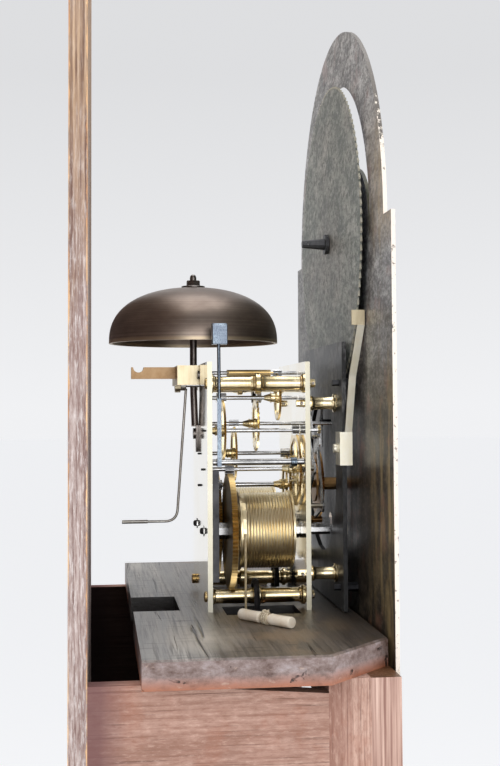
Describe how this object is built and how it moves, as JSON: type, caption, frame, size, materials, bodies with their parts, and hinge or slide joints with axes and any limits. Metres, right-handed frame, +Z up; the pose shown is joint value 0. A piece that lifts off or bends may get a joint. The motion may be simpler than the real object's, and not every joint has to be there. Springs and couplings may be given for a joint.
{
  "type": "longcase clock",
  "caption": "Eight-day longcase clock with its hood off: tall wooden case, seatboard, striking weight-driven movement, bell and arched moon dial.",
  "frame": {"origin": "on the floor under the middle of the case", "axes": "+X to the right seen from the front, +Y to the rear, +Z up; the dial faces -Y"},
  "size_m": [0.49, 0.236, 2.06],
  "materials": {
    "oak_backboard": "old oak board, dry and unpolished",
    "polished_oak": "waxed brown oak",
    "raw_oak": "unpolished brown oak with scratches",
    "seat_oak": "dark old oak, worn edges",
    "brass": "polished brass",
    "aged_brass": "brass with light tarnish",
    "bell_metal": "dark bronze-brown bell metal, turned",
    "steel": "bright grey steel",
    "blued_steel": "blued steel",
    "dark_iron": "dark cast iron",
    "dial_iron": "painted iron sheet, bare and dark at the back",
    "moon_paint": "painted disc with two plain moons, grey-green behind",
    "lead": "dull cast weight",
    "gut": "natural gut line",
    "bone": "turned bone"
  },
  "bodies": {
    "case": {"backboard": "oak_backboard", "trunk_sides": "polished_oak", "cheeks": "raw_oak", "corner_posts": "raw_oak", "front_frame": "polished_oak", "door_hinges": "aged_brass", "throat_moulding": "polished_oak", "base_front": "polished_oak", "base_sides": "polished_oak", "waist_moulding": "polished_oak", "plinth": "polished_oak", "seatboard": "seat_oak", "seat_hooks": "dark_iron", "line_pegs": "bone", "back_plate": "brass", "front_plate": "brass", "plate_pillars": "brass", "plate_pins": "steel", "back_cock": "brass", "bell_stand": "steel", "bell": "bell_metal", "hammer_spring": "blued_steel", "false_plate": "dark_iron", "dial_pillars": "brass", "dial": "dial_iron", "moon_stud": "steel", "moon_jumper": "brass", "going_line": "gut", "strike_line": "gut"},
    "door": {"trunk_door": "polished_oak", "door_lock": "aged_brass"},
    "going_great": {"going_great_wheel": "brass"},
    "going_barrel": {"going_barrel": "brass"},
    "centre": {"centre_wheel": "brass", "cannon_wheel": "brass", "minute_hand": "blued_steel"},
    "third": {"third_wheel": "brass"},
    "escape": {"escape_wheel": "brass", "seconds_hand": "blued_steel"},
    "pallets": {"pallets": "steel", "crutch": "steel"},
    "minute": {"minute_wheel": "brass"},
    "hour": {"hour_wheel": "brass", "hour_hand": "blued_steel"},
    "strike_great": {"strike_great_wheel": "brass"},
    "strike_barrel": {"strike_barrel": "brass"},
    "pin": {"pin_wheel": "brass"},
    "gathering": {"gathering_wheel": "brass"},
    "warning": {"warning_wheel": "brass"},
    "fly": {"fly": "brass"},
    "hammer": {"hammer": "steel"},
    "rack": {"rack": "steel"},
    "rack_hook": {"rack_hook": "steel"},
    "lifting_piece": {"lifting_piece": "steel"},
    "moon": {"moon_disc": "moon_paint"},
    "moon_lever": {"moon_lever": "steel"},
    "going_weight": {"going_weight": "lead"},
    "strike_weight": {"strike_weight": "lead"},
    "going_pulley": {"going_pulley": "brass"},
    "strike_pulley": {"strike_pulley": "brass"}
  },
  "joints": [
    {"name": "trunk_door_hinge", "type": "hinge", "parent": "case", "child": "door", "pos_m": [0.141, -0.078, 0.951], "axis": [0, 0, 1], "range_deg": [0, 110]},
    {"name": "centre_turn", "type": "hinge", "parent": "case", "child": "centre", "pos_m": [0, -0.016, 1.5825], "axis": [0, 1, 0], "continuous": true},
    {"name": "going_great_turn", "type": "hinge", "parent": "case", "child": "going_great", "pos_m": [0.03, 0.013, 1.552], "axis": [0, 1, 0], "continuous": true},
    {"name": "third_turn", "type": "hinge", "parent": "case", "child": "third", "pos_m": [0.00288, -0.016, 1.60544], "axis": [0, 1, 0], "continuous": true},
    {"name": "escape_turn", "type": "hinge", "parent": "case", "child": "escape", "pos_m": [0, -0.016, 1.6273], "axis": [0, 1, 0], "continuous": true},
    {"name": "minute_turn", "type": "hinge", "parent": "case", "child": "minute", "pos_m": [0, -0.052, 1.556], "axis": [0, 1, 0], "continuous": true},
    {"name": "hour_turn", "type": "hinge", "parent": "case", "child": "hour", "pos_m": [0, -0.066, 1.5825], "axis": [0, 1, 0], "continuous": true},
    {"name": "pallet_swing", "type": "hinge", "parent": "case", "child": "pallets", "pos_m": [0, -0.015, 1.656], "axis": [0, 1, 0], "range_deg": [-2.4, 2.4]},
    {"name": "gathering_turn", "type": "hinge", "parent": "case", "child": "gathering", "pos_m": [-0.0372, -0.016, 1.62301], "axis": [0, 1, 0], "continuous": true},
    {"name": "pin_turn", "type": "hinge", "parent": "case", "child": "pin", "pos_m": [-0.029, -0.016, 1.5954], "axis": [0, 1, 0], "continuous": true},
    {"name": "strike_great_turn", "type": "hinge", "parent": "case", "child": "strike_great", "pos_m": [-0.03, 0.008, 1.552], "axis": [0, 1, 0], "continuous": true},
    {"name": "warning_turn", "type": "hinge", "parent": "case", "child": "warning", "pos_m": [-0.031, -0.016, 1.64619], "axis": [0, 1, 0], "continuous": true},
    {"name": "fly_turn", "type": "hinge", "parent": "case", "child": "fly", "pos_m": [-0.029, -0.016, 1.66396], "axis": [0, 1, 0], "continuous": true},
    {"name": "going_wind", "type": "hinge", "parent": "going_great", "child": "going_barrel", "pos_m": [0.03, -0.014, 1.552], "axis": [0, 1, 0], "range_deg": [0, 4789]},
    {"name": "strike_wind", "type": "hinge", "parent": "strike_great", "child": "strike_barrel", "pos_m": [-0.03, -0.016, 1.552], "axis": [0, 1, 0], "range_deg": [0, 4789]},
    {"name": "going_fall", "type": "slide", "parent": "case", "child": "going_weight", "axis": [0, 0, 1], "range_m": [0, 1.12], "deforming": ["going_line"]},
    {"name": "strike_fall", "type": "slide", "parent": "case", "child": "strike_weight", "axis": [0, 0, 1], "range_m": [0, 1.12], "deforming": ["strike_line"]},
    {"name": "going_pulley_turn", "type": "hinge", "parent": "going_weight", "child": "going_pulley", "pos_m": [0.03105, -0.0033, 0.32], "axis": [0.1177, 0.9931, 0], "range_deg": [0, 2289]},
    {"name": "strike_pulley_turn", "type": "hinge", "parent": "strike_weight", "child": "strike_pulley", "pos_m": [-0.08465, -0.0033, 0.32], "axis": [-0.1177, 0.9931, 0], "range_deg": [-2289, 0]},
    {"name": "hammer_swing", "type": "hinge", "parent": "case", "child": "hammer", "pos_m": [-0.0585, -0.006, 1.6016], "axis": [0, 1, 0], "range_deg": [-12, 3.4], "stiffness_Nm_per_rad": 0.4},
    {"name": "rack_fall", "type": "hinge", "parent": "case", "child": "rack", "pos_m": [-0.048, -0.056, 1.57], "axis": [0, 1, 0], "range_deg": [-20, 0]},
    {"name": "rack_hook_lift", "type": "hinge", "parent": "case", "child": "rack_hook", "pos_m": [-0.012, -0.0532, 1.634], "axis": [0, 1, 0], "range_deg": [0, 10]},
    {"name": "lifting_piece_lift", "type": "hinge", "parent": "case", "child": "lifting_piece", "pos_m": [-0.044, -0.051, 1.596], "axis": [0, 1, 0], "range_deg": [-8, 0]},
    {"name": "moon_turn", "type": "hinge", "parent": "case", "child": "moon", "pos_m": [0, -0.071, 1.761], "axis": [0, 1, 0], "continuous": true},
    {"name": "moon_lever_swing", "type": "hinge", "parent": "case", "child": "moon_lever", "pos_m": [0.026, -0.069, 1.628], "axis": [0, 1, 0], "range_deg": [-6, 0]}
  ],
  "couplings": [
    {"joint": "going_great_turn", "follows": "centre_turn", "ratio": -0.083333},
    {"joint": "third_turn", "follows": "centre_turn", "ratio": -7.5},
    {"joint": "escape_turn", "follows": "centre_turn", "ratio": 60},
    {"joint": "minute_turn", "follows": "centre_turn", "ratio": -1},
    {"joint": "hour_turn", "follows": "centre_turn", "ratio": 0.083333},
    {"joint": "pin_turn", "follows": "gathering_turn", "ratio": -0.125},
    {"joint": "strike_great_turn", "follows": "gathering_turn", "ratio": 0.011905},
    {"joint": "warning_turn", "follows": "gathering_turn", "ratio": -7},
    {"joint": "fly_turn", "follows": "gathering_turn", "ratio": 48},
    {"joint": "going_wind", "follows": "going_fall", "rad_per_m": 74.627},
    {"joint": "strike_wind", "follows": "strike_fall", "rad_per_m": 74.627},
    {"joint": "going_pulley_turn", "follows": "going_fall", "rad_per_m": 35.657},
    {"joint": "strike_pulley_turn", "follows": "strike_fall", "rad_per_m": -35.657}
  ]
}
